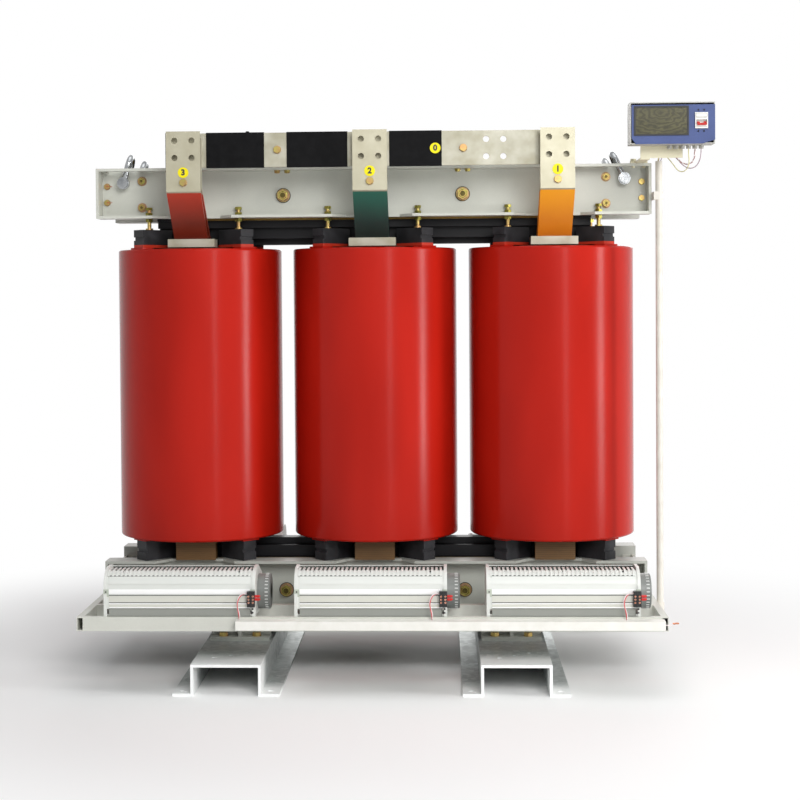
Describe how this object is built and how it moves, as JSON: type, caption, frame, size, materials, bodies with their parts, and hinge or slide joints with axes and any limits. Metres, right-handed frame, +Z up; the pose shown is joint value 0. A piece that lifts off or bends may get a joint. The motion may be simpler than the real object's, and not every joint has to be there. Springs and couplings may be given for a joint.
{
  "type": "dry type transformer",
  "caption": "Cast-resin dry type transformer with three red coils in a clamped core, front bars, fan tray, control box and channel feet.",
  "frame": {"origin": "on the floor, at the centre of the floor bolts, under the middle coil", "axes": "+X along the row of coils to the control box, +Y from the low-voltage side to the rear, +Z up"},
  "size_m": [1.82, 1.1, 1.672],
  "materials": {
    "core_steel": "black core varnish, satin",
    "clamp_paint": "light grey paint, satin",
    "clamp_paint_dark": "grey paint, satin",
    "coil_resin": "red cast resin, half gloss",
    "low_coil_wrap": "banded glass tape in resin",
    "block_moulding": "dark moulded polyester",
    "press_board": "pressed board, matt",
    "laminated_wood": "laminated beech",
    "tinned_bar": "tinned bar, brushed",
    "sleeve_black": "shrink sleeve, satin",
    "disc_yellow": "gloss",
    "zinc_yellow": "yellow zinc plating",
    "brass_stud": "turned brass",
    "copper_bar": "rolled copper",
    "shackle_steel": "bright plated",
    "galvanised": "galvanised sheet",
    "fan_case": "white paint, half gloss",
    "fan_wheel": "pressed sheet",
    "motor_shell": "silver paint",
    "terminal_black": "moulded, satin",
    "tray_paint": "light grey paint",
    "trunking_white": "white rigid plastic",
    "box_grey": "light grey paint",
    "panel_blue": "blue film, satin",
    "window_smoke": "smoked clear plastic",
    "breaker_white": "moulded, satin",
    "toggle_red": "moulded, gloss",
    "bracket_cream": "cream paint",
    "conduit_white": "rigid plastic",
    "wire_jacket": "soft jacket"
  },
  "bodies": {
    "root": {"bar_bolts": "zinc_yellow", "bar_spacers": "block_moulding", "bar_supports": "clamp_paint", "base_channels": "galvanised", "breaker_body": "breaker_white", "cable_trunking": "trunking_white", "clamp_boards": "press_board", "conduit": "conduit_white", "control_box": "box_grey", "control_bracket": "bracket_cream", "control_panel": "panel_blue", "control_window": "window_smoke", "core_legs": "core_steel", "core_lower_yoke": "core_steel", "core_upper_yoke": "core_steel", "end_ties": "clamp_paint", "fan_blocks": "terminal_black", "fan_housings_front": "fan_case", "fan_housings_rear": "fan_case", "fan_motors": "motor_shell", "foot_bolts": "zinc_yellow", "foot_brackets": "clamp_paint_dark", "frame_bolts": "zinc_yellow", "high_bars": "copper_bar", "high_coil_left": "coil_resin", "high_coil_middle": "coil_resin", "high_coil_right": "coil_resin", "high_studs": "brass_stud", "jack_bolts": "zinc_yellow", "leg_ties": "galvanised", "low_voltage_coils": "low_coil_wrap", "lower_clamp_front": "clamp_paint_dark", "lower_clamp_rear": "clamp_paint_dark", "neutral_bar": "tinned_bar", "neutral_links": "tinned_bar", "neutral_sleeves": "sleeve_black", "phase_discs": "disc_yellow", "riser_left": "tinned_bar", "riser_middle": "tinned_bar", "riser_right": "tinned_bar", "shackle_pins": "zinc_yellow", "support_blocks": "block_moulding", "terminal_bars": "tinned_bar", "tray_frame": "tray_paint", "upper_clamp_front": "clamp_paint", "upper_clamp_rear": "clamp_paint", "wires": "wire_jacket", "wood_blocks": "laminated_wood"},
    "wheel_front_left": {"fan_rotor_front_left": "fan_wheel"},
    "wheel_rear_left": {"fan_rotor_rear_left": "fan_wheel"},
    "wheel_front_middle": {"fan_rotor_front_middle": "fan_wheel"},
    "wheel_rear_middle": {"fan_rotor_rear_middle": "fan_wheel"},
    "wheel_front_right": {"fan_rotor_front_right": "fan_wheel"},
    "wheel_rear_right": {"fan_rotor_rear_right": "fan_wheel"},
    "lifting_front_left": {"shackle_front_left": "shackle_steel"},
    "lifting_front_right": {"shackle_front_right": "shackle_steel"},
    "lifting_rear_left": {"shackle_rear_left": "shackle_steel"},
    "lifting_rear_right": {"shackle_rear_right": "shackle_steel"},
    "lever": {"breaker_toggle": "toggle_red"}
  },
  "joints": [
    {"name": "spin_front_left", "type": "hinge", "parent": "root", "child": "wheel_front_left", "pos_m": [-0.543, -0.402, 0.278], "axis": [1, 0, 0], "continuous": true},
    {"name": "spin_rear_left", "type": "hinge", "parent": "root", "child": "wheel_rear_left", "pos_m": [-0.543, 0.402, 0.278], "axis": [1, 0, 0], "continuous": true},
    {"name": "spin_front_middle", "type": "hinge", "parent": "root", "child": "wheel_front_middle", "pos_m": [0, -0.402, 0.278], "axis": [1, 0, 0], "continuous": true},
    {"name": "spin_rear_middle", "type": "hinge", "parent": "root", "child": "wheel_rear_middle", "pos_m": [0, 0.402, 0.278], "axis": [1, 0, 0], "continuous": true},
    {"name": "spin_front_right", "type": "hinge", "parent": "root", "child": "wheel_front_right", "pos_m": [0.543, -0.402, 0.278], "axis": [1, 0, 0], "continuous": true},
    {"name": "spin_rear_right", "type": "hinge", "parent": "root", "child": "wheel_rear_right", "pos_m": [0.543, 0.402, 0.278], "axis": [1, 0, 0], "continuous": true},
    {"name": "swing_front_left", "type": "hinge", "parent": "root", "child": "lifting_front_left", "pos_m": [-0.755, -0.1195, 1.473], "axis": [0, 1, 0], "range_deg": [-55, 25]},
    {"name": "swing_front_right", "type": "hinge", "parent": "root", "child": "lifting_front_right", "pos_m": [0.755, -0.1195, 1.473], "axis": [0, 1, 0], "range_deg": [-16, 64]},
    {"name": "swing_rear_left", "type": "hinge", "parent": "root", "child": "lifting_rear_left", "pos_m": [-0.755, 0.1195, 1.473], "axis": [0, 1, 0], "range_deg": [-55, 25]},
    {"name": "swing_rear_right", "type": "hinge", "parent": "root", "child": "lifting_rear_right", "pos_m": [0.755, 0.1195, 1.473], "axis": [0, 1, 0], "range_deg": [-16, 64]},
    {"name": "breaker_lever", "type": "hinge", "parent": "root", "child": "lever", "pos_m": [0.946, -0.403, 1.6135], "axis": [1, 0, 0], "range_deg": [-70, 0]}
  ]
}
